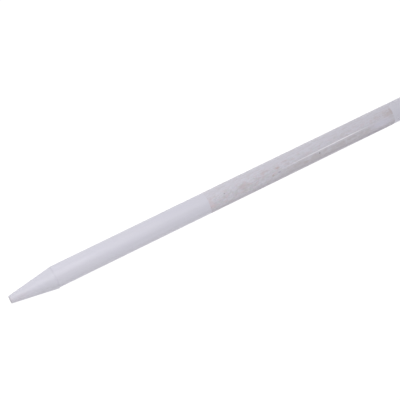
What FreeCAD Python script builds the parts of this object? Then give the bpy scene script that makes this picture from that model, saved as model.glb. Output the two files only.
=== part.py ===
import FreeCAD, Part
import math
import os
import Sketcher

# A roller extension pole in two sections, in millimetres.
#
# The pole lies along X with Z up. The middle of its nose, the end that a roller handle is pushed
# onto, is at the origin, and its butt is at +X. Two steel tubes in white film screw together
# through a moulded coupling. The front tube ends in a cone that jams in the roller handle. The
# rear tube ends in a cap, and an eye to hang the pole by swivels on the cap.

SIZES = {
    # The tubes: steel with a lock seam folded to the inside, and the film shrunk over it
    "pole_diameter": 22.0,
    "film_wall": 0.3,
    "steel_wall": 0.4,
    "seam_width": 2.6,
    "seam_height": 1.0,
    # Places along the pole, from the nose
    "front_length": 620.0,
    "butt_place": 1200.0,
    "pole_length": 1220.0,
    # The cone
    "cone_length": 46.8,
    "nose_diameter": 7.7,
    "nose_round": 0.7,
    "shoulder_diameter": 22.3,
    "shoulder_land": 0.8,
    "shoulder_round": 0.3,
    "hollow_start": 14.0,
    "hollow_diameter": 4.6,
    # The spigots that press into the tubes, with crush ribs and a keyway over the lock seam
    "spigot_length": 30.0,
    "spigot_diameter": 19.4,
    "spigot_bore": 14.6,
    "spigot_chamfer": 0.8,
    "rib_count": 8,
    "rib_width": 1.2,
    "rib_length": 25.0,
    "key_width": 3.2,
    "key_floor": 9.0,
    # The screw coupling
    "collar_diameter": 24.0,
    "collar_width": 3.0,
    "collar_round": 0.8,
    "washer_width": 1.5,
    "washer_diameter": 22.0,
    "stud_length": 20.0,
    "stud_core": 12.4,
    "stud_bore": 7.6,
    "socket_length": 34.0,
    "thread_pitch": 4.0,
    "thread_height": 1.2,
    "thread_root": 2.2,
    "thread_crest": 1.0,
    "thread_lead": 2.0,
    "thread_gap": 0.25,
    # The butt cap, and the eye whose split barb snaps through it
    "cap_diameter": 21.8,
    "cap_nose": 8.0,
    "cap_wall": 5.0,
    "cap_round": 3.4,
    "pivot_bore": 6.2,
    "pivot_diameter": 6.04,
    "pivot_play": 0.2,
    "barb_diameter": 7.4,
    "barb_length": 3.0,
    "barb_slot": 1.4,
    "slot_length": 7.0,
    "eye_collar": 10.0,
    "eye_collar_width": 1.8,
    "eye_radius": 9.0,
    "eye_hole": 9.0,
    "eye_thick": 4.0,
    "eye_neck": 8.4,
    "eye_round": 0.9,
    # The film label, wrapped once round with its last stretch lapped over its first
    "label_start": 212.4,
    "label_length": 216.0,
    "label_wall": 0.06,
    "lap_width": 10.0,
    "lap_turn": 36.0,
}

# Formulas of the sheet's cells that several pieces share
POLE_RADIUS = "(Sizes.pole_diameter / 2)"
STEEL_RADIUS = "(Sizes.pole_diameter / 2 - Sizes.film_wall)"
BORE_RADIUS = "(Sizes.pole_diameter / 2 - Sizes.film_wall - Sizes.steel_wall)"
SPIGOT_RADIUS = "(Sizes.spigot_diameter / 2)"
SPIGOT_NOSE = "(Sizes.spigot_diameter / 2 - Sizes.spigot_chamfer)"
COLLAR_RADIUS = "(Sizes.collar_diameter / 2)"
STUD_RADIUS = "(Sizes.stud_core / 2)"
CREST_RADIUS = "(Sizes.stud_core / 2 + Sizes.thread_height)"
FRONT_TUBE_END = "(Sizes.front_length - Sizes.collar_width)"
REAR_TUBE_START = "(Sizes.front_length + Sizes.washer_width + Sizes.collar_width)"
REAR_TUBE_END = "(Sizes.butt_place - Sizes.cap_nose)"
STUD_START = "(Sizes.front_length + Sizes.washer_width - Sizes.stud_length)"

FULL_TURN = 360.0
HALF_TURN = 180.0
ROOTED = "0.2"  # how far a rib, fold or thread starts inside the wall that it grows from
NEAR = 0.01  # closer than this, two places or heights count as the same

# How a sketch's constraints number an element's points, and the sketch's own axes and origin
START, END, CENTRE = 1, 2, 3
LEVEL_AXIS, UPRIGHT_AXIS = -1, -2
ORIGIN = (LEVEL_AXIS, START)

doc = FreeCAD.newDocument("RollerExtensionPole")


def make_sheet():
    """The driving dimensions, one named cell each."""
    sheet = doc.addObject("Spreadsheet::Sheet", "Sizes")
    for row, (name, size) in enumerate(SIZES.items(), start=1):
        sheet.set(f"A{row}", name)
        sheet.set(f"B{row}", str(size))
        sheet.setAlias(f"B{row}", name)
    doc.recompute()
    return sheet


sizes = make_sheet()


def value(formula):
    """The number that a formula of the sheet's cells gives."""
    result = sizes.evalExpression(formula)
    return float(getattr(result, "Value", result))


def new_body(label, along="0"):
    """A body whose own origin is at a formula's distance along the pole."""
    body = doc.addObject("PartDesign::Body", label)
    body.Label = label
    body.setExpression("Placement.Base.x", along)
    return body


def new_sketch(body, name, role, lift="0"):
    """A sketch on one of the body's own planes, lifted off it along its normal."""
    sketch = body.newObject("Sketcher::SketchObject", name)
    plane = next(item for item in body.Origin.OriginFeatures if item.Role == role)
    sketch.AttachmentSupport = (plane, [""])
    sketch.MapMode = "FlatFace"
    sketch.setExpression("AttachmentOffset.Base.z", lift)
    return sketch


def turn_sketch(sketch, axis, angle):
    """Turns a sketch about one of its own axes by a formula's angle."""
    rotation = FreeCAD.Rotation(FreeCAD.Vector(*axis), value(angle))
    sketch.AttachmentOffset = FreeCAD.Placement(sketch.AttachmentOffset.Base, rotation)
    sketch.setExpression("AttachmentOffset.Rotation.Angle", angle)


def fix(sketch, kind, formula, *where):
    """A dimension of the sketch, bound to a formula."""
    index = sketch.addConstraint(Sketcher.Constraint(kind, *where, value(formula)))
    sketch.setExpression(f"Constraints[{index}]", formula)


def fix_point(sketch, element, end, along, out):
    """Holds one end of an element at two formulas' distances from the sketch's origin."""
    sides = (("DistanceX", along, UPRIGHT_AXIS), ("DistanceY", out, LEVEL_AXIS))
    for kind, formula, axis in sides:
        if value(formula) == 0:
            sketch.addConstraint(Sketcher.Constraint("PointOnObject", element, end, axis))
        else:
            fix(sketch, kind, formula, *ORIGIN, element, end)


def draw_outline(sketch, points):
    """A closed outline of straight lines through points, each a pair of formulas."""
    spots = [FreeCAD.Vector(value(along), value(out), 0) for along, out in points]
    for start, end in zip(spots, spots[1:] + spots[:1]):
        sketch.addGeometry(Part.LineSegment(start, end), False)
    for side in range(len(spots)):
        after = (side + 1) % len(spots)
        sketch.addConstraint(Sketcher.Constraint("Coincident", side, END, after, START))
    for side, (along, out) in enumerate(points):
        fix_point(sketch, side, START, along, out)


def draw_box(sketch, left, right, low, high):
    """An upright rectangle between four formulas."""
    draw_outline(sketch, [(left, low), (right, low), (right, high), (left, high)])


def draw_circle(sketch, radius):
    """A circle round the sketch's origin."""
    round_line = Part.Circle(FreeCAD.Vector(), FreeCAD.Vector(0, 0, 1), value(radius))
    index = sketch.addGeometry(round_line, False)
    sketch.addConstraint(Sketcher.Constraint("Coincident", index, CENTRE, *ORIGIN))
    fix(sketch, "Radius", radius, index)


def revolve(body, name, points):
    """A full turn about X of an outline through (along, radius) points."""
    sketch = new_sketch(body, name + "Profile", "XZ_Plane")
    draw_outline(sketch, points)
    solid = body.newObject("PartDesign::Revolution", name)
    solid.Profile = sketch
    solid.ReferenceAxis = (sketch, ["H_Axis"])
    solid.Angle = FULL_TURN
    doc.recompute()
    return solid


def pad(body, name, sketch, length):
    """The sketch's outline drawn out along its normal."""
    solid = body.newObject("PartDesign::Pad", name)
    solid.Profile = sketch
    solid.setExpression("Length", length)
    doc.recompute()
    return solid


def pocket(body, name, sketch, length):
    """The sketch's outline cut out along its normal."""
    before = body.Shape.Volume
    hollow = body.newObject("PartDesign::Pocket", name)
    hollow.Profile = sketch
    hollow.setExpression("Length", length)
    hollow.Reversed = True
    doc.recompute()
    if body.Shape.Volume >= before:
        raise RuntimeError(f"{body.Label}: {name} cuts nothing")


def fillet(body, name, base, edges, radius):
    """Rounds the named edges of a feature."""
    if not edges:
        raise RuntimeError(f"{body.Label}: {name} has no edges")
    feature = body.newObject("PartDesign::Fillet", name)
    feature.Base = (base, edges)
    feature.setExpression("Radius", radius)
    doc.recompute()
    return feature


def rims(solid, spots):
    """Names of a turned solid's round edges at (along, radius) spots, each a pair of formulas."""
    wanted = [(value(along), value(radius)) for along, radius in spots]
    names = []
    for number, edge in enumerate(solid.Shape.Edges, start=1):
        if not isinstance(edge.Curve, Part.Circle):
            continue
        at = (edge.Curve.Center.x, edge.Curve.Radius)
        if any(math.dist(at, spot) < NEAR for spot in wanted):
            names.append(f"Edge{number}")
    return names


def level_edges(solid, height):
    """Names of the edges that lie flat at a height above or below the body's XY plane."""
    names = []
    for number, edge in enumerate(solid.Shape.Edges, start=1):
        box = edge.BoundBox
        if box.ZLength < NEAR and abs(abs(box.ZMax) - value(height)) < NEAR:
            names.append(f"Edge{number}")
    return names


def add_crush_ribs(body, start):
    """Ribs round a spigot, which bite on the tube's bore. They straddle the lock seam."""
    section = new_sketch(body, "RibSection", "YZ_Plane", lift=start)
    turn_sketch(section, (0, 0, 1), f"{HALF_TURN} / Sizes.rib_count")
    half = "Sizes.rib_width / 2"
    draw_box(section, f"-{half}", half, f"{SPIGOT_RADIUS} - {ROOTED}", BORE_RADIUS)
    rib = pad(body, "Rib", section, "Sizes.rib_length")
    ribs = body.newObject("PartDesign::PolarPattern", "Ribs")
    ribs.Originals = [rib]
    ribs.Axis = (section, ["N_Axis"])
    ribs.Angle = FULL_TURN
    ribs.setExpression("Occurrences", "Sizes.rib_count")
    body.Tip = ribs
    doc.recompute()


def cut_keyway(body, start, length):
    """A flat-bottomed way along a spigot's underside, clear of the tube's lock seam."""
    section = new_sketch(body, "KeySection", "YZ_Plane", lift=start)
    half = "Sizes.key_width / 2"
    draw_box(section, f"-{half}", half, f"-{POLE_RADIUS}", "-Sizes.key_floor")
    pocket(body, "Keyway", section, length)


def wind_thread(body, kind, name, start, height, inner, outer, widen):
    """A right-hand trapezoid thread about X, added to the body or cut from it."""
    section = new_sketch(body, name + "Section", "XZ_Plane")
    root = f"(Sizes.thread_root / 2 + {widen})"
    crest = f"(Sizes.thread_crest / 2 + {widen})"
    draw_outline(
        section,
        [
            (f"{start} - {root}", inner),
            (f"{start} - {crest}", outer),
            (f"{start} + {crest}", outer),
            (f"{start} + {root}", inner),
        ],
    )
    before = body.Shape.Volume
    helix = body.newObject(kind, name)
    helix.Profile = section
    helix.ReferenceAxis = (section, ["H_Axis"])
    helix.Mode = "pitch-height-angle"
    helix.setExpression("Pitch", "Sizes.thread_pitch")
    helix.setExpression("Height", height)
    doc.recompute()
    if (body.Shape.Volume > before) != (kind == "PartDesign::AdditiveHelix"):
        raise RuntimeError(f"{body.Label}: {name} is wound the wrong way")


def make_cone_tip():
    """The nose plug: a hollow cone outside the tube, and a ribbed spigot inside it."""
    body = new_body("cone_tip")
    seat = "Sizes.cone_length"
    land = "(Sizes.cone_length - Sizes.shoulder_land)"
    end = "(Sizes.cone_length + Sizes.spigot_length)"
    nose = "Sizes.nose_diameter / 2"
    shoulder = "Sizes.shoulder_diameter / 2"
    profile = [
        ("0", "0"),
        ("0", nose),
        (land, shoulder),
        (seat, shoulder),
        (seat, SPIGOT_RADIUS),
        (f"{end} - Sizes.spigot_chamfer", SPIGOT_RADIUS),
        (end, SPIGOT_NOSE),
        (end, "Sizes.spigot_bore / 2"),
        (seat, "Sizes.spigot_bore / 2"),
        ("Sizes.hollow_start", "Sizes.hollow_diameter / 2"),
        ("Sizes.hollow_start", "0"),
    ]
    cone = revolve(body, "Cone", profile)
    cone = fillet(body, "NoseRound", cone, rims(cone, [("0", nose)]), "Sizes.nose_round")
    edges = rims(cone, [(land, shoulder), (seat, shoulder)])
    fillet(body, "ShoulderRound", cone, edges, "Sizes.shoulder_round")
    add_crush_ribs(body, seat)
    cut_keyway(body, seat, "Sizes.spigot_length")


def make_tube(label, start, end):
    """A thin steel tube, with its lock seam folded inside along the underside."""
    body = new_body(label, start)
    wall = new_sketch(body, "WallSection", "YZ_Plane")
    draw_circle(wall, STEEL_RADIUS)
    draw_circle(wall, BORE_RADIUS)
    pad(body, "Wall", wall, f"{end} - {start}")
    seam = new_sketch(body, "SeamSection", "YZ_Plane")
    half = "Sizes.seam_width / 2"
    low, high = f"-{BORE_RADIUS} - {ROOTED}", f"Sizes.seam_height - {BORE_RADIUS}"
    draw_box(seam, f"-{half}", half, low, high)
    pad(body, "Seam", seam, f"{end} - {start}")


def make_sleeve(label, start, end):
    """The white film shrunk over a tube."""
    body = new_body(label, start)
    film = new_sketch(body, "FilmSection", "YZ_Plane")
    draw_circle(film, POLE_RADIUS)
    draw_circle(film, STEEL_RADIUS)
    pad(body, "Film", film, f"{end} - {start}")


def make_wrap_label():
    """The label's film, one full turn with a second layer where it laps."""
    body = new_body("wrap_label", "Sizes.label_start")
    section = new_sketch(body, "WrapSection", "YZ_Plane")
    draw_circle(section, f"{POLE_RADIUS} + Sizes.label_wall")
    draw_circle(section, POLE_RADIUS)
    pad(body, "Wrap", section, "Sizes.label_length")
    profile = new_sketch(body, "LapProfile", "XZ_Plane")
    turn_sketch(profile, (1, 0, 0), "Sizes.lap_turn")
    low, high = f"{POLE_RADIUS} + Sizes.label_wall / 2", f"{POLE_RADIUS} + 2 * Sizes.label_wall"
    draw_box(profile, "0", "Sizes.label_length", low, high)
    lap = body.newObject("PartDesign::Revolution", "Lap")
    lap.Profile = profile
    lap.ReferenceAxis = (profile, ["H_Axis"])
    lap.setExpression("Angle", f"Sizes.lap_width / {POLE_RADIUS} * {HALF_TURN} / pi")
    doc.recompute()


def make_coupling_socket():
    """The plug with the inside thread, in the rear end of the front tube."""
    body = new_body("coupling_socket", f"{FRONT_TUBE_END} - Sizes.socket_length")
    seat = "Sizes.socket_length"
    face = "(Sizes.socket_length + Sizes.collar_width)"
    bore = f"({STUD_RADIUS} + Sizes.thread_gap)"
    profile = [
        ("0", bore),
        ("0", SPIGOT_NOSE),
        ("Sizes.spigot_chamfer", SPIGOT_RADIUS),
        (seat, SPIGOT_RADIUS),
        (seat, COLLAR_RADIUS),
        (face, COLLAR_RADIUS),
        (face, bore),
    ]
    plug = revolve(body, "Plug", profile)
    edges = rims(plug, [(seat, COLLAR_RADIUS), (face, COLLAR_RADIUS)])
    fillet(body, "CollarRound", plug, edges, "Sizes.collar_round")
    add_crush_ribs(body, f"{seat} - Sizes.rib_length")
    cut_keyway(body, "0", seat)
    # The groove starts one pitch ahead of the stud's ridge, so the two mesh when screwed home.
    stud_nose = f"({face} + Sizes.washer_width - Sizes.stud_length)"
    ridge_start = f"({stud_nose} + Sizes.thread_lead + Sizes.thread_root / 2)"
    start = f"({ridge_start} - Sizes.thread_pitch)"
    wind_thread(
        body,
        "PartDesign::SubtractiveHelix",
        "Groove",
        start,
        f"{face} - {start} + Sizes.thread_pitch",
        f"{bore} - {ROOTED}",
        f"{CREST_RADIUS} + Sizes.thread_gap",
        "Sizes.thread_gap",
    )


def make_coupling_washer():
    """The rubber ring between the coupling's two collars."""
    body = new_body("coupling_washer", "Sizes.front_length")
    ring = new_sketch(body, "RingSection", "YZ_Plane")
    draw_circle(ring, "Sizes.washer_diameter / 2")
    draw_circle(ring, f"{CREST_RADIUS} + Sizes.thread_gap")
    pad(body, "Ring", ring, "Sizes.washer_width")


def make_coupling_stud():
    """The plug with the outside thread, in the front end of the rear tube."""
    body = new_body("coupling_stud", STUD_START)
    face = "Sizes.stud_length"
    seat = "(Sizes.stud_length + Sizes.collar_width)"
    end = f"({seat} + Sizes.spigot_length)"
    profile = [
        ("0", "Sizes.stud_bore / 2"),
        ("0", f"{STUD_RADIUS} - Sizes.spigot_chamfer"),
        ("Sizes.spigot_chamfer", STUD_RADIUS),
        (face, STUD_RADIUS),
        (face, COLLAR_RADIUS),
        (seat, COLLAR_RADIUS),
        (seat, SPIGOT_RADIUS),
        (f"{end} - Sizes.spigot_chamfer", SPIGOT_RADIUS),
        (end, SPIGOT_NOSE),
        (end, "Sizes.spigot_bore / 2"),
        (seat, "Sizes.spigot_bore / 2"),
        (seat, "Sizes.stud_bore / 2"),
    ]
    plug = revolve(body, "Plug", profile)
    edges = rims(plug, [(face, COLLAR_RADIUS), (seat, COLLAR_RADIUS)])
    fillet(body, "CollarRound", plug, edges, "Sizes.collar_round")
    add_crush_ribs(body, seat)
    cut_keyway(body, seat, "Sizes.spigot_length")
    wind_thread(
        body,
        "PartDesign::AdditiveHelix",
        "Ridge",
        "(Sizes.thread_lead + Sizes.thread_root / 2)",
        "Sizes.stud_length - 2 * Sizes.thread_lead - Sizes.thread_root",
        f"{STUD_RADIUS} - {ROOTED}",
        CREST_RADIUS,
        "0",
    )


def make_end_cap():
    """The domed plug in the butt end, bored for the eye's pivot."""
    body = new_body("end_cap", f"{REAR_TUBE_END} - Sizes.spigot_length")
    seat = "Sizes.spigot_length"
    end = "(Sizes.spigot_length + Sizes.cap_nose)"
    wall = f"({end} - Sizes.cap_wall)"
    rim = "Sizes.cap_diameter / 2"
    profile = [
        ("0", "Sizes.spigot_bore / 2"),
        ("0", SPIGOT_NOSE),
        ("Sizes.spigot_chamfer", SPIGOT_RADIUS),
        (seat, SPIGOT_RADIUS),
        (seat, rim),
        (end, rim),
        (end, "Sizes.pivot_bore / 2"),
        (wall, "Sizes.pivot_bore / 2"),
        (wall, "Sizes.spigot_bore / 2"),
    ]
    plug = revolve(body, "Plug", profile)
    fillet(body, "Dome", plug, rims(plug, [(end, rim)]), "Sizes.cap_round")
    add_crush_ribs(body, f"{seat} - Sizes.rib_length")
    cut_keyway(body, "0", seat)


def draw_eye_plate(sketch, centre, foot):
    """A round head pierced by a hole, with two tangent sides that run in to a narrow foot."""
    middle = FreeCAD.Vector(value(centre), 0, 0)
    up = FreeCAD.Vector(0, 0, 1)
    ring = Part.Circle(middle, up, value("Sizes.eye_radius"))
    # The arc's ends are only near the tangent points here: the constraints put them there.
    near_tangent = math.radians(HALF_TURN * 2 / 3)
    arc = Part.ArcOfCircle(ring, -near_tangent, near_tangent)
    half_neck = "Sizes.eye_neck / 2"
    left = FreeCAD.Vector(value(foot), value(half_neck), 0)
    right = FreeCAD.Vector(value(foot), -value(half_neck), 0)
    head = sketch.addGeometry(arc, False)
    left_side = sketch.addGeometry(Part.LineSegment(arc.EndPoint, left), False)
    foot_side = sketch.addGeometry(Part.LineSegment(left, right), False)
    right_side = sketch.addGeometry(Part.LineSegment(right, arc.StartPoint), False)
    hole = sketch.addGeometry(Part.Circle(middle, up, value("Sizes.eye_hole / 2")), False)
    for kind, *points in (
        ("Tangent", head, END, left_side, START),
        ("Coincident", left_side, END, foot_side, START),
        ("Coincident", foot_side, END, right_side, START),
        ("Tangent", right_side, END, head, START),
        ("Coincident", hole, CENTRE, head, CENTRE),
    ):
        sketch.addConstraint(Sketcher.Constraint(kind, *points))
    fix_point(sketch, head, CENTRE, centre, "0")
    fix_point(sketch, foot_side, START, foot, half_neck)
    fix_point(sketch, foot_side, END, foot, f"-{half_neck}")
    fix(sketch, "Radius", "Sizes.eye_radius", head)
    fix(sketch, "Radius", "Sizes.eye_hole / 2", hole)


def make_hanging_eye():
    """The eye: a flat loop outside the cap, on a pivot whose split barb snaps in behind it."""
    start = "(Sizes.butt_place - Sizes.cap_wall - Sizes.pivot_play - Sizes.barb_length)"
    body = new_body("hanging_eye", start)
    shoulder = "(Sizes.barb_length + Sizes.cap_wall + 2 * Sizes.pivot_play)"
    collar_end = f"({shoulder} + Sizes.eye_collar_width)"
    plate = new_sketch(body, "PlateOutline", "XY_Plane", lift="-Sizes.eye_thick / 2")
    centre = f"(Sizes.pole_length - Sizes.eye_radius - {start})"
    draw_eye_plate(plate, centre, f"({shoulder} + Sizes.eye_collar_width / 2)")
    loop = pad(body, "Plate", plate, "Sizes.eye_thick")
    edges = level_edges(loop, "Sizes.eye_thick / 2")
    fillet(body, "PlateRound", loop, edges, "Sizes.eye_round")
    pivot = "Sizes.pivot_diameter / 2"
    profile = [
        ("0", "0"),
        ("0", f"{pivot} - Sizes.spigot_chamfer"),
        ("Sizes.barb_length", "Sizes.barb_diameter / 2"),
        ("Sizes.barb_length", pivot),
        (shoulder, pivot),
        (shoulder, "Sizes.eye_collar / 2"),
        (collar_end, "Sizes.eye_collar / 2"),
        (collar_end, "0"),
    ]
    revolve(body, "Pivot", profile)
    slot = new_sketch(body, "SlotOutline", "XY_Plane", lift="-Sizes.barb_diameter")
    half = "Sizes.barb_slot / 2"
    draw_box(slot, "-Sizes.barb_slot", "Sizes.slot_length", f"-{half}", half)
    pocket(body, "Slot", slot, "2 * Sizes.barb_diameter")


def check_document():
    """Stops if any object failed, or any piece is not one sound solid."""
    for item in doc.Objects:
        if "Invalid" in item.State or "Error" in item.State:
            raise RuntimeError(f"{item.Label}: {item.State}")
    for body in doc.findObjects("PartDesign::Body"):
        shape = body.Shape
        if shape.isNull() or not shape.isValid() or len(shape.Solids) != 1:
            raise RuntimeError(f"{body.Label}: not one sound solid")


def write_parts():
    """One STEP file for each piece."""
    os.makedirs("parts", exist_ok=True)
    for body in doc.findObjects("PartDesign::Body"):
        body.Shape.exportStep(f"parts/{body.Label}.step")
        box = body.Shape.BoundBox
        print(f"{body.Label}: {body.Shape.Volume:.1f} mm3, X {box.XMin:.2f} to {box.XMax:.2f}")


make_cone_tip()
make_tube("front_tube", "Sizes.cone_length", FRONT_TUBE_END)
make_sleeve("front_sleeve", "Sizes.cone_length", FRONT_TUBE_END)
make_wrap_label()
make_coupling_socket()
make_coupling_washer()
make_coupling_stud()
make_tube("rear_tube", REAR_TUBE_START, REAR_TUBE_END)
make_sleeve("rear_sleeve", REAR_TUBE_START, REAR_TUBE_END)
make_end_cap()
make_hanging_eye()
check_document()
write_parts()
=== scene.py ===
import math

import bmesh
import bpy
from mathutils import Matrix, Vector, noise


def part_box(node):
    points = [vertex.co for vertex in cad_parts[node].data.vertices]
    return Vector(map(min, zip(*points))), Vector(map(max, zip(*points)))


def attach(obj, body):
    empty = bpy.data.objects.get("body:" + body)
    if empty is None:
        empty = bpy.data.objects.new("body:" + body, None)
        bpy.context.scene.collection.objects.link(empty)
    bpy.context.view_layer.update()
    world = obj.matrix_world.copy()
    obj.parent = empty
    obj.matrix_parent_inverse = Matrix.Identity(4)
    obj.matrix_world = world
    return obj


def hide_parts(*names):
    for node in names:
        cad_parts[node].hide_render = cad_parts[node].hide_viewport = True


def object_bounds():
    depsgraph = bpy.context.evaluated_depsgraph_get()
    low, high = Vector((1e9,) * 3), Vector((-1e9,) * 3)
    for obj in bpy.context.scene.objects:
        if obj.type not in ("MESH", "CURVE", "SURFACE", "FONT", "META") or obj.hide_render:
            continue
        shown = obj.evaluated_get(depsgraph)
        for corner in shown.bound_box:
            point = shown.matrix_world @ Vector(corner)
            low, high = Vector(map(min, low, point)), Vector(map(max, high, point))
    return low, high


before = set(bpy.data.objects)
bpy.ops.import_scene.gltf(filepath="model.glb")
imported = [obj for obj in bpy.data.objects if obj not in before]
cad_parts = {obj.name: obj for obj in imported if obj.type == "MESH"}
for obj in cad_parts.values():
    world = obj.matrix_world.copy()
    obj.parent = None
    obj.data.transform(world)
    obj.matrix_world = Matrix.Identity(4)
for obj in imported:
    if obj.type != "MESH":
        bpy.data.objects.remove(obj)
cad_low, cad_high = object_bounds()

# A roller extension pole, in metres. It lies along X, with the nose of its cone at the origin and
# its butt at +X. An angle round the pole starts straight up and grows towards -Y, the side that
# the camera looks from.

MM = 0.001
SAME_POINT = MM / 1000  # points closer than this are joined
FULL_TURN = 2 * math.pi
SMOOTH_BELOW = math.radians(32)  # edges that turn more than this look sharp


# ---------------------------------------------------------------- sizes, from the frame

def distances(node):
    """How far each point of a CAD node is from the pole's axis."""
    return [math.hypot(point.co.y, point.co.z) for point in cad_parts[node].data.vertices]


POLE_RADIUS = max(distances("front_sleeve"))
STEEL_RADIUS = min(distances("front_sleeve"))
STEEL_WALL = 0.4 * MM
BORE_RADIUS = STEEL_RADIUS - STEEL_WALL
LABEL_WALL = (max(distances("wrap_label")) - POLE_RADIUS) / 2
SHOULDER_RADIUS = max(distances("cone_tip"))
CONE_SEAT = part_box("front_sleeve")[0].x
CONE_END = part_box("cone_tip")[1].x
LABEL_START, LABEL_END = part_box("wrap_label")[0].x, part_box("wrap_label")[1].x

# Closer angles on each side of a fine line. An angle is left out where it crowds the next one.
FINE_SIDES = 6
CROWDED = 3  # nearer to the next than the fine step over this

# The film shrunk over the tubes
FILM_ROUND = 0.1 * MM
FILM_RING = 4 * MM
FILM_SPOKES = 120
WAVE_HEIGHT = 0.02 * MM
WAVE_LENGTH = 28 * MM
SEAM_ANGLE = math.pi
SEAM_WIDTH = 0.5 * MM
SEAM_DEPTH = 0.07 * MM

# The cone plug
NOSE_RADIUS = 3.85 * MM
NOSE_ROUND = 0.7 * MM
SHOULDER_LAND = 0.8 * MM
SHOULDER_ROUND = 0.3 * MM
CONE_SHIFT_NOSE = 0.85 * MM  # how far the cone leans off the tube's centre line
CONE_SHIFT_SEAT = 0.45 * MM
CONE_SHIFT_ANGLE = math.radians(116)
GATE_RADIUS = 1.5 * MM
GATE_DEPTH = 0.45 * MM
GATE_ROUND = 0.15 * MM
GATE_RIM_ROUND = 0.1 * MM
STUB_RADIUS = 0.55 * MM
STUB_TOP = 0.15 * MM
STUB_ROUND = 0.1 * MM
SEAT_SLACK = 0.01 * MM  # points this near the seat still count as on it
SPIGOT_RADIUS = 9.7 * MM
SPIGOT_BORE = 7.3 * MM
SPIGOT_CHAMFER = 0.8 * MM
HOLLOW_RADIUS = 2.3 * MM
HOLLOW_START = 14 * MM
RIB_COUNT = 8
RIB_HALF = 0.6 * MM
RIB_GAP = 5 * MM
CONE_RING = 2 * MM
CONE_SPOKES = 144
MOULD_LINES = (math.pi / 2, 3 * math.pi / 2)
MOULD_LINE_WIDTH = 0.16 * MM
MOULD_LINE_HEIGHT = 0.035 * MM

# The label, a film wound once round the tube with its free edge lapped over its first edge
LAP_ANGLE = math.radians(39.8)  # where the free edge lies at the label's start
LAP_DRIFT = math.radians(-8.8)  # how far it winds round by the label's far end
LAP_HOOK = math.radians(3.2)  # how far the free edge turns back near the label's far end
LAP_HOOK_START = 0.75  # in shares of the label's length
LAP_HOOK_END = 0.95
LAP_WIDTH = 10 * MM
LAP_RAMP = 0.5 * MM
LAP_RAMP_STEPS = 4
LAP_CURL_WIDTH = 1.0 * MM  # the free edge lifts off the film below it, more in some places
LAP_CURL_HEIGHT = 0.05 * MM
LAP_CURL_LENGTH = 9 * MM
LAP_CURL_STEPS = 6
LAP_CURL_SHARE = 0.6  # the curl's usual height, as a share of the full one
LABEL_ROWS = 90
LABEL_COLUMNS = 190
CREASE_HEIGHT = 0.012 * MM
CREASE_LENGTH = 12 * MM
CREASE_WIDTH = 2.2 * MM
CREASE_SLICE = 4.0  # which slice of the noise makes the creases
OFF_GRID = 0.5  # the noise is nought where every coordinate is whole, so these are halves


# ---------------------------------------------------------------- shapes

def on_pole(along, out, angle):
    """A place by its distance along the pole, its distance from the axis and its angle."""
    return Vector((along, -out * math.sin(angle), out * math.cos(angle)))


def rounded(corners, steps=5):
    """A closed outline from (along, out, round) corners, each round one drawn as an arc."""
    outline = []
    for number, (along, out, size) in enumerate(corners):
        corner = Vector((along, out))
        if size == 0:
            outline.append(corner)
            continue
        back = (Vector(corners[number - 1][:2]) - corner).normalized()
        ahead = (Vector(corners[(number + 1) % len(corners)][:2]) - corner).normalized()
        half = back.angle(ahead) / 2
        centre = corner + (back + ahead).normalized() * size / math.sin(half)
        first = (corner + back * size / math.tan(half) - centre).normalized()
        last = (corner + ahead * size / math.tan(half) - centre).normalized()
        for step in range(steps + 1):
            outline.append(centre + first.slerp(last, step / steps) * size)
    return outline


def divided(outline, longest):
    """The same closed outline, with points added so that no side is longer than longest."""
    points = []
    for number, start in enumerate(outline):
        end = outline[(number + 1) % len(outline)]
        sides = max(1, math.ceil((end - start).length / longest))
        points += [start.lerp(end, side / sides) for side in range(sides)]
    return points


def spokes(count, fine_lines, fine_step):
    """Angles all the way round, with closer ones about each fine line."""
    angles = [FULL_TURN * spoke / count for spoke in range(count)]
    for line in fine_lines:
        sides = range(-FINE_SIDES, FINE_SIDES + 1)
        angles += [(line + fine_step * side) % FULL_TURN for side in sides]
    angles.sort()
    pairs = zip(angles, angles[1:] + [FULL_TURN])
    return [angle for angle, after in pairs if after - angle > fine_step / CROWDED]


def finished_piece(name, skin, body, node):
    """The object made from a closed skin, riding on its body in place of its CAD node."""
    bmesh.ops.recalc_face_normals(skin, faces=skin.faces)
    mesh = bpy.data.meshes.new(name)
    skin.to_mesh(mesh)
    skin.free()
    mesh.shade_smooth()
    mesh.set_sharp_from_angle(angle=SMOOTH_BELOW)
    piece = bpy.data.objects.new(name, mesh)
    bpy.context.scene.collection.objects.link(piece)
    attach(piece, body)
    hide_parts(node)
    return piece


def turned_skin(outline, angles, relief):
    """A closed skin: the outline carried round the pole, with relief added to its distance out."""
    skin = bmesh.new()
    rings = []
    for angle in angles:
        ring = []
        for along, out in outline:
            lift = relief(along, out, angle)
            ring.append(skin.verts.new(on_pole(along, out + lift, angle)))
        rings.append(ring)
    for ring, after in zip(rings, rings[1:] + rings[:1]):
        for place in range(len(ring)):
            further = (place + 1) % len(ring)
            skin.faces.new((ring[place], after[place], after[further], ring[further]))
    bmesh.ops.remove_doubles(skin, verts=skin.verts, dist=SAME_POINT)
    return skin


def ridge(arc, width):
    """From 1 on a line to 0 away from it, by the arc's length from the line."""
    return math.exp(-((arc / width) ** 2))


def film_lift(along, angle):
    """How far the film stands off a true cylinder: soft waves, and a dip over the lock seam."""
    spot = Vector((along / WAVE_LENGTH, math.sin(angle), math.cos(angle)))
    off_seam = (angle - SEAM_ANGLE) * POLE_RADIUS
    return WAVE_HEIGHT * noise.noise(spot) - SEAM_DEPTH * ridge(off_seam, SEAM_WIDTH)


def film_relief(along, out, angle):
    """The film's relief, on its outside only."""
    return film_lift(along, angle) if out > (POLE_RADIUS + STEEL_RADIUS) / 2 else 0


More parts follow.
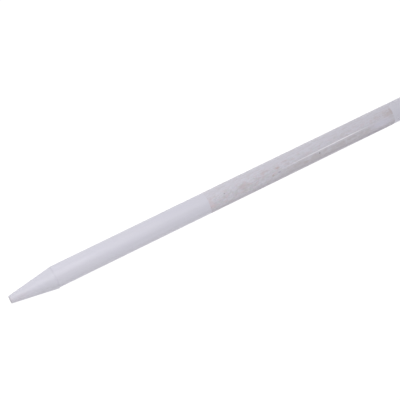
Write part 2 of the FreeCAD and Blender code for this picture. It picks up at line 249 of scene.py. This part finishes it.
def make_film(name, node, body):
    """The white film over one tube."""
    low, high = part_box(node)
    corners = [
        (low.x, STEEL_RADIUS, 0),
        (low.x, POLE_RADIUS, FILM_ROUND),
        (high.x, POLE_RADIUS, FILM_ROUND),
        (high.x, STEEL_RADIUS, 0),
    ]
    angles = spokes(FILM_SPOKES, [SEAM_ANGLE], SEAM_WIDTH / 2 / POLE_RADIUS)
    skin = turned_skin(divided(rounded(corners), FILM_RING), angles, film_relief)
    return finished_piece(name, skin, body, node)


def cone_relief(along, out, angle):
    """The line that the mould's halves leave on the cone, and the spigot's crush ribs."""
    if along < CONE_SEAT and out > NOSE_RADIUS:
        nearest = min(abs(angle - line) for line in MOULD_LINES)
        height = min(MOULD_LINE_HEIGHT, SHOULDER_RADIUS - out)
        return height * ridge(nearest * out, MOULD_LINE_WIDTH)
    pitch = FULL_TURN / RIB_COUNT
    off_rib = abs(angle % pitch - pitch / 2) * out
    on_wall = abs(out - SPIGOT_RADIUS) < SPIGOT_CHAMFER / 2
    if on_wall and off_rib < RIB_HALF and CONE_SEAT < along < CONE_END - RIB_GAP:
        return BORE_RADIUS - SPIGOT_RADIUS
    return 0


def make_cone():
    """The nose plug: a cone with its gate mark and mould lines, and the spigot in the tube."""
    corners = [
        (STUB_TOP, 0, 0),
        (STUB_TOP, STUB_RADIUS, STUB_ROUND),
        (GATE_DEPTH, STUB_RADIUS, 0),
        (GATE_DEPTH, GATE_RADIUS - GATE_DEPTH, GATE_ROUND),
        (0, GATE_RADIUS, GATE_RIM_ROUND),
        (0, NOSE_RADIUS, NOSE_ROUND),
        (CONE_SEAT - SHOULDER_LAND, SHOULDER_RADIUS, SHOULDER_ROUND),
        (CONE_SEAT, SHOULDER_RADIUS, SHOULDER_ROUND),
        (CONE_SEAT, SPIGOT_RADIUS, 0),
        (CONE_END - SPIGOT_CHAMFER, SPIGOT_RADIUS, 0),
        (CONE_END, SPIGOT_RADIUS - SPIGOT_CHAMFER, 0),
        (CONE_END, SPIGOT_BORE, 0),
        (CONE_SEAT, SPIGOT_BORE, 0),
        (HOLLOW_START, HOLLOW_RADIUS, 0),
        (HOLLOW_START, 0, 0),
    ]
    angles = spokes(CONE_SPOKES, MOULD_LINES, MOULD_LINE_WIDTH / 2 / POLE_RADIUS)
    skin = turned_skin(divided(rounded(corners), CONE_RING), angles, cone_relief)
    for point in skin.verts:
        before_seat = point.co.x < CONE_SEAT - SEAT_SLACK
        if before_seat or math.hypot(point.co.y, point.co.z) > STEEL_RADIUS:
            share = point.co.x / CONE_SEAT
            shift = CONE_SHIFT_NOSE + (CONE_SHIFT_SEAT - CONE_SHIFT_NOSE) * share
            point.co += on_pole(0, shift, CONE_SHIFT_ANGLE)
    return finished_piece("cone_plug", skin, "front_section", "cone_tip")


def lap_angle(share):
    """Where the label's free edge lies, at a share of the label's length."""
    turned = min(1, max(0, (share - LAP_HOOK_START) / (LAP_HOOK_END - LAP_HOOK_START)))
    return LAP_ANGLE + LAP_DRIFT * share + LAP_HOOK * turned * turned * (3 - 2 * turned)


def label_lift(along, arc, angle):
    """How far the label's inside stands off the pole at an arc's length from its free edge."""
    over_first_edge = min(1, max(0, (LAP_WIDTH + LAP_RAMP - arc) / LAP_RAMP))
    curl = max(0, 1 - arc / LAP_CURL_WIDTH) ** 2
    loose = LAP_CURL_SHARE + noise.noise(Vector((along / LAP_CURL_LENGTH, OFF_GRID, OFF_GRID)))
    crease = noise.noise(Vector((along / CREASE_LENGTH, arc / CREASE_WIDTH, CREASE_SLICE)))
    lift = film_lift(along, angle % FULL_TURN)
    lift += LABEL_WALL * over_first_edge
    lift += LAP_CURL_HEIGHT * curl * max(0, loose)
    return lift + CREASE_HEIGHT * max(0, crease)


def make_label():
    """The film label: one sheet, wound round the tube and lapped over its own first edge."""
    sheet = FULL_TURN * POLE_RADIUS + LAP_WIDTH
    even = [sheet * column / LABEL_COLUMNS for column in range(LABEL_COLUMNS + 1)]
    curl_steps = range(1, LAP_CURL_STEPS)
    ramp_steps = range(LAP_RAMP_STEPS + 1)
    curled = [LAP_CURL_WIDTH * step / LAP_CURL_STEPS for step in curl_steps]
    ramped = [LAP_WIDTH + LAP_RAMP * step / LAP_RAMP_STEPS for step in ramp_steps]
    arcs = sorted(set(even + curled + ramped))
    skin = bmesh.new()
    rows = []
    for row in range(LABEL_ROWS + 1):
        share = row / LABEL_ROWS
        along = LABEL_START + (LABEL_END - LABEL_START) * share
        inner, outer = [], []
        for arc in arcs:
            angle = lap_angle(share) + arc / POLE_RADIUS
            out = POLE_RADIUS + label_lift(along, arc, angle)
            inner.append(skin.verts.new(on_pole(along, out, angle)))
            outer.append(skin.verts.new(on_pole(along, out + LABEL_WALL, angle)))
        rows.append(outer + inner[::-1])
    for row, after in zip(rows, rows[1:]):
        for place in range(len(row)):
            further = (place + 1) % len(row)
            skin.faces.new((row[place], after[place], after[further], row[further]))
    for row in (rows[0], rows[-1]):
        for place in range(len(arcs) - 1):
            skin.faces.new((row[place], row[place + 1], row[-2 - place], row[-1 - place]))
    return finished_piece("label_film", skin, "front_section", "wrap_label")


# ---------------------------------------------------------------- materials

WHITE = (1, 1, 1)
CLOUDS_LOW, CLOUDS_HIGH = 0.3, 0.7  # most of a cloud pattern lies between these
MIX_UNDER, MIX_OVER, MIX_RESULT = 6, 7, 2  # the numbers of a Mix node's colour sockets


class Finish:
    """A material made of nodes. A number it is given may be a plain one or another node's."""

    def __init__(self, name, colour, roughness, specular):
        self.material = bpy.data.materials.new(name)
        self.material.use_nodes = True
        self.tree = self.material.node_tree
        self.shader = self.tree.nodes["Principled BSDF"]
        self.shader.inputs["Base Color"].default_value = (*colour, 1)
        self.shader.inputs["Roughness"].default_value = roughness
        self.shader.inputs["Specular IOR Level"].default_value = specular
        self.place = self.add("ShaderNodeTexCoord").outputs["Object"]
        self.colour = (*colour, 1)
        split = self.add("ShaderNodeSeparateXYZ", {"Vector": self.place})
        self.along = split.outputs["X"]
        self.angle = self.work("ARCTAN2", self.work("MULTIPLY", split.outputs["Y"], -1), split.outputs["Z"])

    def add(self, kind, given=None, **settings):
        """A new node, with its settings and what its sockets are given."""
        node = self.tree.nodes.new(kind)
        for name, setting in settings.items():
            setattr(node, name, setting)
        for socket, source in (given or {}).items():
            self.feed(node.inputs[socket], source)
        return node

    def feed(self, socket, source):
        """Gives a socket a plain value, or links it to another node's."""
        if isinstance(source, bpy.types.NodeSocket):
            self.tree.links.new(source, socket)
        else:
            socket.default_value = source

    def work(self, operation, first, second=0.0):
        """The result of some arithmetic."""
        return self.add("ShaderNodeMath", {0: first, 1: second}, operation=operation).outputs[0]

    def ramp(self, source, start, end, low=0.0, high=1.0):
        """Smoothly from low, where the source is start, to high, where it is end."""
        given = {"Value": source, "From Min": start, "From Max": end, "To Min": low, "To Max": high}
        return self.add("ShaderNodeMapRange", given, interpolation_type="SMOOTHSTEP").outputs[0]

    def line(self, source, start, end, low, high):
        """Evenly from low, where the source is start, to high, where it is end."""
        given = {"Value": source, "From Min": start, "From Max": end, "To Min": low, "To Max": high}
        return self.add("ShaderNodeMapRange", given, clamp=False).outputs[0]

    def between(self, source, start, end, edge):
        """1 while the source is from start to end, and 0 outside, over a soft edge."""
        up = self.ramp(source, start - edge, start + edge)
        down = self.ramp(source, end - edge, end + edge, 1.0, 0.0)
        return self.work("MULTIPLY", up, down)

    def clouds(self, size, stretch=1.0, detail=3.0, seed=0.0):
        """Soft patches from 0 to 1, of a size in metres, drawn out along the pole by stretch."""
        given = {"Vector": self.place, "Location": (seed, seed, seed), "Scale": (1 / stretch, 1, 1)}
        spot = self.add("ShaderNodeMapping", given).outputs["Vector"]
        given = {"Vector": spot, "Scale": 1 / size, "Detail": detail}
        return self.add("ShaderNodeTexNoise", given).outputs[0]

    def tint(self, share, colour):
        """Lays a colour over what is there, by a share."""
        node = self.add("ShaderNodeMix", {"Factor": share}, data_type="RGBA")
        self.feed(node.inputs[MIX_UNDER], self.colour)
        self.feed(node.inputs[MIX_OVER], (*colour, 1))
        self.colour = node.outputs[MIX_RESULT]

    def mottle(self, colour, clouds, start, end, least=0.0, most=1.0, where=None):
        """Lays patches of a colour where clouds are thick, all over or by the share in where."""
        share = self.ramp(clouds, start, end, least, most)
        if where is not None:
            share = self.work("MULTIPLY", where, share)
        self.tint(share, colour)

    def use_colour(self):
        """Gives the shader the colour built up so far."""
        self.feed(self.shader.inputs["Base Color"], self.colour)

    def vary_roughness(self, source, low, high):
        """Roughness from low to high as clouds thicken."""
        roughness = self.ramp(source, CLOUDS_LOW, CLOUDS_HIGH, low, high)
        self.feed(self.shader.inputs["Roughness"], roughness)

    def bump(self, height, depth, strength):
        """Relief too fine for the mesh, with a depth in metres."""
        given = {"Height": height, "Distance": depth, "Strength": strength}
        node = self.add("ShaderNodeBump", given)
        if self.shader.inputs["Normal"].is_linked:
            self.feed(node.inputs["Normal"], self.shader.inputs["Normal"].links[0].from_socket)
        self.feed(self.shader.inputs["Normal"], node.outputs["Normal"])


def dress(piece, finish):
    """Gives a piece one material."""
    piece.data.materials.clear()
    piece.data.materials.append(finish.material)


FILM_WHITE = (0.70, 0.69, 0.775)
FILM_STREAK = (0.66, 0.66, 0.73)
FILM_PATCH = (0.72, 0.70, 0.76)


def film_finish():
    """Thin white plastic film, shrunk tight: a satin skin with faint lengthwise streaks."""
    film = Finish("pole_film", FILM_WHITE, roughness=0.42, specular=0.35)
    streaks = film.clouds(2.4 * MM, stretch=26, seed=1.3)
    film.mottle(FILM_STREAK, streaks, start=0.45, end=0.75, most=0.35)
    patches = film.clouds(16 * MM, stretch=3, seed=4.1)
    film.mottle(FILM_PATCH, patches, start=0.4, end=0.7, most=0.25)
    film.use_colour()
    film.vary_roughness(film.clouds(5 * MM, stretch=6, seed=7.7), low=0.36, high=0.5)
    film.bump(film.clouds(1.1 * MM, stretch=3, detail=2), depth=0.02 * MM, strength=0.3)
    return film


CONE_WHITE = (0.69, 0.68, 0.762)
CONE_PATCH = (0.665, 0.66, 0.72)
CONE_SOIL = (0.62, 0.55, 0.60)
CONE_GREY = (0.58, 0.57, 0.62)
# painted shade for the nose's face and rim
CONE_RIM_SHADE = (0.42, 0.38, 0.42)


def cone_finish(name):
    """Moulded white plastic, much the colour of the film, with a fine grain."""
    cone = Finish(name, CONE_WHITE, roughness=0.45, specular=0.35)
    patches = cone.clouds(9 * MM, seed=2.2)
    cone.mottle(CONE_PATCH, patches, start=0.4, end=0.7, most=0.35)
    cone.use_colour()
    cone.vary_roughness(cone.clouds(3 * MM, seed=5.5), low=0.4, high=0.52)
    cone.bump(cone.clouds(0.5 * MM, detail=2), depth=0.015 * MM, strength=0.4)
    return cone


def worn_shaded_cone_finish():
    """The cone's plastic, soiled near the nose on the side towards -Y, greyer towards the tube on that side
    and below, and with painted shade round the nose's rim.
    """
    cone = cone_finish("cone_worn_and_shaded")
    # Soiled near the nose
    near_nose = cone.ramp(cone.along, start=9 * MM, end=26 * MM, low=1, high=0)
    side = cone.between(cone.angle, math.radians(25), math.radians(120), edge=math.radians(18))
    soil = cone.clouds(3.5 * MM, seed=11.3)
    where = cone.work("MULTIPLY", near_nose, side)
    cone.mottle(CONE_SOIL, soil, start=0.35, end=0.6, least=0.05, most=0.35, where=where)
    # Greyer towards the tube, on the side towards -Y and below
    near_seat = cone.between(cone.along, 24 * MM, CONE_SEAT, edge=6 * MM)
    side = cone.ramp(cone.angle, start=math.radians(35), end=math.radians(75))
    grey_clouds = cone.clouds(4 * MM, stretch=1.5, seed=8.8)
    where = cone.work("MULTIPLY", near_seat, side)
    cone.mottle(CONE_GREY, grey_clouds, start=0.4, end=0.6, most=0.3, where=where)
    # Painted shade, darkest at the nose's face and rim, which turn away from the lamps
    cone.tint(cone.ramp(cone.along, start=0.3 * MM, end=1.6 * MM, low=0.45, high=0), CONE_RIM_SHADE)
    cone.use_colour()
    return cone


COUPLING_WHITE = (0.66, 0.66, 0.71)
COUPLING_RUBBED = (0.58, 0.58, 0.61)


def coupling_finish():
    """Moulded white plastic, rubbed in places."""
    made = Finish("coupling_plastic", COUPLING_WHITE, roughness=0.42, specular=0.4)
    rubbed = made.clouds(1.6 * MM, seed=3.1)
    made.mottle(COUPLING_RUBBED, rubbed, start=0.5, end=0.75, most=0.4)
    made.use_colour()
    made.vary_roughness(made.clouds(2 * MM, seed=6.4), low=0.34, high=0.5)
    made.bump(made.clouds(0.5 * MM, detail=2), depth=0.015 * MM, strength=0.4)
    return made


RUBBER_BLACK = (0.03, 0.03, 0.032)
RUBBER_DUST = (0.12, 0.118, 0.115)


def washer_finish():
    """Dusty black rubber."""
    rubber = Finish("washer_rubber", RUBBER_BLACK, roughness=0.8, specular=0.4)
    dust = rubber.clouds(0.9 * MM, detail=4)
    rubber.mottle(RUBBER_DUST, dust, start=0.5, end=0.8, most=0.5)
    rubber.use_colour()
    rubber.bump(rubber.clouds(0.3 * MM), depth=0.03 * MM, strength=0.5)
    return rubber


STEEL_GREY = (0.52, 0.52, 0.53)
STEEL_LINE = (0.42, 0.42, 0.43)


def steel_finish():
    """Rolled steel strip, with lines along its length."""
    steel = Finish("tube_steel", STEEL_GREY, roughness=0.32, specular=0.5)
    steel.shader.inputs["Metallic"].default_value = 1
    lines = steel.clouds(0.4 * MM, stretch=60)
    steel.mottle(STEEL_LINE, lines, start=0.4, end=0.7, most=0.5)
    steel.use_colour()
    steel.vary_roughness(steel.clouds(3 * MM, stretch=8), low=0.25, high=0.42)
    return steel


LABEL_CLEAR = (0.70, 0.688, 0.768)
# painted highlight: the light caught along the label's lifted free edge
LABEL_EDGE_HIGHLIGHT = (0.95, 0.93, 0.98)
LABEL_STREAK = (0.61, 0.58, 0.62)
LABEL_SCUFF = (0.60, 0.55, 0.56)
LABEL_DOUBLE = (0.555, 0.520, 0.545)
LABEL_LOWER = (0.50, 0.47, 0.53)
LABEL_BROWNED = (0.56, 0.46, 0.46)
ROSE = (0.70, 0.55, 0.56)
RUST = (0.50, 0.38, 0.34)
PINKISH = (0.54, 0.46, 0.47)
VIOLET = (0.30, 0.24, 0.34)
PALE = (0.71, 0.69, 0.81)
SHADE = (0.36, 0.33, 0.41)
UMBER = (0.44, 0.32, 0.30)
DARK = (0.16, 0.12, 0.16)
STAINS_AND_SHADE = (
    # place along from the label's start, arc from its free edge, length, width (mm), share, colour
    (1.5, 1.0, 4.5, 6.0, 0.30, ROSE),
    (18, -3.3, 0.9, 0.8, 0.40, DARK),
    (39, -0.9, 8.0, 3.5, 0.35, PINKISH),
    (65, -4.9, 7.0, 1.5, 0.35, PINKISH),
    (71.5, 2.3, 1.8, 1.4, 0.50, RUST),
    (79, -2.6, 3.0, 1.5, 0.50, RUST),
    (79, 2.1, 2.0, 0.8, 0.50, VIOLET),
    (88.5, -5.6, 4.0, 1.2, 0.35, PINKISH),
    (109.5, 5.2, 5.0, 1.6, 0.35, PINKISH),
    (126, 2.9, 0.9, 0.8, 0.80, DARK),
    (200, 3.6, 15.0, 4.2, 0.60, PALE),
    # painted shade: a dark patch along the label's lower edge near its far end
    (191, 13.5, 30.0, 5.0, 0.50, SHADE),
    (214.5, -4.0, 1.6, 5.0, 0.25, UMBER),
)
STAIN_RAGGED = 0.6  # how far clouds eat into a stain's outline, in shares of its size
STAIN_CORE, STAIN_RIM = 0.7, 1.4  # a stain fades out between these, in shares of its size
MOTTLES = (
    # size (mm), stretch, seed, how much shows, colour
    (3.2, 1.6, 3.4, 0.55, (0.66, 0.55, 0.59)),
    (2.4, 2.0, 9.6, 0.45, (0.56, 0.60, 0.59)),
    (1.4, 1.5, 15.2, 0.35, (0.52, 0.47, 0.56)),
)


def arc_from_free_edge(label):
    """How far round the pole a point of the label is from its free edge, as an arc's length."""
    straight = label.line(label.along, LABEL_START, LABEL_END, LAP_ANGLE, LAP_ANGLE + LAP_DRIFT)
    length = LABEL_END - LABEL_START
    hook_start = LABEL_START + length * LAP_HOOK_START
    hook_end = LABEL_START + length * LAP_HOOK_END
    edge = label.work("ADD", straight, label.ramp(label.along, hook_start, hook_end, 0, LAP_HOOK))
    return label.work("MULTIPLY", label.work("SUBTRACT", label.angle, edge), POLE_RADIUS)


def mottle_label(label, arc):
    """Soft patches of three colours, most towards the label's start and below its upper side."""
    start, end = LABEL_START + 50 * MM, LABEL_START + 120 * MM
    near_start = label.ramp(label.along, start, end, low=1, high=0.6)
    lower = label.ramp(arc, start=-8 * MM, end=-4 * MM, low=0.3, high=1)
    where = label.work("MULTIPLY", near_start, lower)
    for size, stretch, seed, most, colour in MOTTLES:
        clouds = label.clouds(size * MM, stretch, seed=seed)
        label.mottle(colour, clouds, start=0.45, end=0.65, most=most, where=where)


def shade_label(label, arc):
    """Hazier where the film lies double, darker on the lower side, and brown at the far end."""
    # Haze where the film lies double
    double = label.between(arc, 1.8 * MM, LAP_WIDTH, edge=1.4 * MM)
    hazy = label.between(label.along, LABEL_START + 78 * MM, LABEL_END - 26 * MM, edge=12 * MM)
    haze = label.clouds(4 * MM, stretch=1.5, seed=17.1)
    where = label.work("MULTIPLY", double, hazy)
    label.mottle(LABEL_DOUBLE, haze, start=0.35, end=0.6, least=0.25, most=0.7, where=where)
    # The lower side
    label.tint(label.ramp(arc, start=5 * MM, end=11 * MM, low=0, high=0.8), LABEL_LOWER)
    # Brown streaks that gather towards the far end, above the free edge
    gather = label.ramp(label.along, start=LABEL_END - 28 * MM, end=LABEL_END - 6 * MM)
    above_edge = label.between(arc, -8 * MM, -1 * MM, edge=1.5 * MM)
    browned = label.clouds(0.9 * MM, stretch=9, seed=6.2)
    where = label.work("MULTIPLY", gather, above_edge)
    label.mottle(LABEL_BROWNED, browned, start=0.42, end=0.6, most=0.35, where=where)


def stain_or_shade_label(label, arc, place, off_edge, length, width, share, colour):
    """Lays a soft-edged patch of colour on the label."""
    from_start = label.work("SUBTRACT", label.along, LABEL_START + place * MM)
    from_edge = label.work("SUBTRACT", arc, off_edge * MM)
    far_along = label.work("POWER", label.work("DIVIDE", from_start, length * MM), 2)
    far_round = label.work("POWER", label.work("DIVIDE", from_edge, width * MM), 2)
    far = label.work("SQRT", label.work("ADD", far_along, far_round))
    clouds = label.clouds(min(length, width) * MM, seed=place)
    ragged = label.work("ADD", far, label.work("MULTIPLY", clouds, STAIN_RAGGED))
    label.tint(label.ramp(ragged, STAIN_CORE, STAIN_RIM, low=share, high=0), colour)


def paint_free_edge_highlight(label, arc):
    """A painted highlight where the lifted free edge catches the light, over the film edge's own whitish
    colour; brightest about seven tenths of the way along.
    """
    line = label.between(arc, -0.25 * MM, 0.65 * MM, edge=0.2 * MM)
    start, end = LABEL_START + 64 * MM, LABEL_START + 150 * MM
    rising = label.ramp(label.along, start, end, low=0.05, high=1)
    start, end = LABEL_START + 158 * MM, LABEL_START + 190 * MM
    falling = label.ramp(label.along, start, end, low=1, high=0.12)
    highlight_along = label.work("MULTIPLY", rising, falling)
    label.tint(label.work("MULTIPLY", line, highlight_along), LABEL_EDGE_HIGHLIGHT)


def label_finish():
    """A clear film label that has dulled, scuffed and stained, with a painted highlight along its free edge
    and a patch of painted shade low near its far end.
    """
    label = Finish("label_film", LABEL_CLEAR, roughness=0.4, specular=0.35)
    arc = arc_from_free_edge(label)
    streaks = label.clouds(1.2 * MM, stretch=14, seed=2.7)
    label.mottle(LABEL_STREAK, streaks, start=0.5, end=0.75, most=0.45)
    scuffs = label.clouds(0.7 * MM, stretch=10, seed=12.4)
    label.mottle(LABEL_SCUFF, scuffs, start=0.48, end=0.68, most=0.45)
    mottle_label(label, arc)
    shade_label(label, arc)
    for patch in STAINS_AND_SHADE:
        stain_or_shade_label(label, arc, *patch)
    # painted highlight along the free edge
    paint_free_edge_highlight(label, arc)
    label.use_colour()
    label.vary_roughness(label.clouds(4 * MM, stretch=5, seed=8.2), low=0.32, high=0.5)
    label.bump(streaks, depth=0.03 * MM, strength=0.3)
    return label


# ---------------------------------------------------------------- the studio

CAMERA_AZIMUTH = math.radians(-29.09)
CAMERA_ELEVATION = math.radians(60.73)
CAMERA_LENS = 100.0
CAMERA_NEAR, CAMERA_FAR = 0.01, 50
NOSE_FROM_CAMERA = Vector((-0.17945, -0.09331, -1.04621))  # in the camera's own axes

FLOOR_SIZE = 40.0
FLOOR_GLOW = 1.0
FLOOR_COLOUR = (0.08, 0.08, 0.08)
SKY = 0.18
SOFTBOXES = (
    # name, place along the pole, distance from it, angle round it, power in watts, length, width
    ("overhead", -0.06, 1.0, math.radians(4), 8.35, 0.7, 0.7),
    ("far_side", -0.06, 1.0, math.radians(-66), 1.5, 0.5, 0.5),
    ("rear", 0.98, 0.3, math.radians(4), 0.55, 0.5, 0.25),
)


def make_camera():
    """Looks down on the pole from its -Y side, with the nose at the lower left."""
    data = bpy.data.cameras.new("camera")
    data.lens = CAMERA_LENS
    data.clip_start = CAMERA_NEAR
    data.clip_end = CAMERA_FAR
    camera = bpy.data.objects.new("camera", data)
    bpy.context.scene.collection.objects.link(camera)
    level = math.cos(CAMERA_ELEVATION)
    back = Vector(
        (
            math.sin(CAMERA_AZIMUTH) * level,
            -math.cos(CAMERA_AZIMUTH) * level,
            math.sin(CAMERA_ELEVATION),
        )
    )
    turn = (-back).to_track_quat("-Z", "Y")
    camera.rotation_mode = "QUATERNION"
    camera.rotation_quaternion = turn
    camera.location = -(turn @ NOSE_FROM_CAMERA)
    bpy.context.scene.camera = camera


def make_floor():
    """A plain floor that the pole lies on, which glows just enough to look white."""
    bpy.ops.mesh.primitive_plane_add(size=FLOOR_SIZE, location=(cad_high.x / 2, 0, cad_low.z))
    floor = bpy.context.object
    floor.name = "floor"
    plain = Finish("floor", FLOOR_COLOUR, roughness=0.9, specular=0.0)
    plain.shader.inputs["Emission Color"].default_value = (*WHITE, 1)
    plain.shader.inputs["Emission Strength"].default_value = FLOOR_GLOW
    dress(floor, plain)


def make_softbox(name, place, distance, angle, power, length, width):
    """An oblong light over the pole, aimed at it."""
    data = bpy.data.lights.new(name, "AREA")
    data.shape = "RECTANGLE"
    data.energy = power
    data.size = length
    data.size_y = width
    softbox = bpy.data.objects.new(name, data)
    bpy.context.scene.collection.objects.link(softbox)
    softbox.location = on_pole(place, distance, angle)
    aim = Vector((place, 0, 0)) - softbox.location
    softbox.rotation_mode = "QUATERNION"
    softbox.rotation_quaternion = aim.to_track_quat("-Z", "Y")


def make_sky():
    """Even light from all round, which the camera itself sees as white."""
    world = bpy.data.worlds.new("studio")
    world.use_nodes = True
    background = world.node_tree.nodes["Background"]
    background.inputs["Color"].default_value = (*WHITE, 1)
    path = world.node_tree.nodes.new("ShaderNodeLightPath")
    strength = world.node_tree.nodes.new("ShaderNodeMapRange")
    strength.inputs["To Min"].default_value = SKY
    strength.inputs["To Max"].default_value = 1
    world.node_tree.links.new(path.outputs["Is Camera Ray"], strength.inputs["Value"])
    world.node_tree.links.new(strength.outputs[0], background.inputs["Strength"])
    bpy.context.scene.world = world


make_camera()
make_floor()
make_sky()
for softbox in SOFTBOXES:
    make_softbox(*softbox)
bpy.context.scene.view_settings.view_transform = "Standard"

film = film_finish()
dress(make_film("front_film", "front_sleeve", "front_section"), film)
dress(make_film("rear_film", "rear_sleeve", "rear_section"), film)
dress(make_cone(), worn_shaded_cone_finish())
dress(make_label(), label_finish())
cone_plastic = cone_finish("cone_plastic")
coupling = coupling_finish()
steel = steel_finish()
rubber = washer_finish()
for node, finish in {
    "end_cap": cone_plastic,
    "hanging_eye": cone_plastic,
    "coupling_socket": coupling,
    "coupling_stud": coupling,
    "front_tube": steel,
    "rear_tube": steel,
    "coupling_washer": rubber,
}.items():
    dress(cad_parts[node], finish)
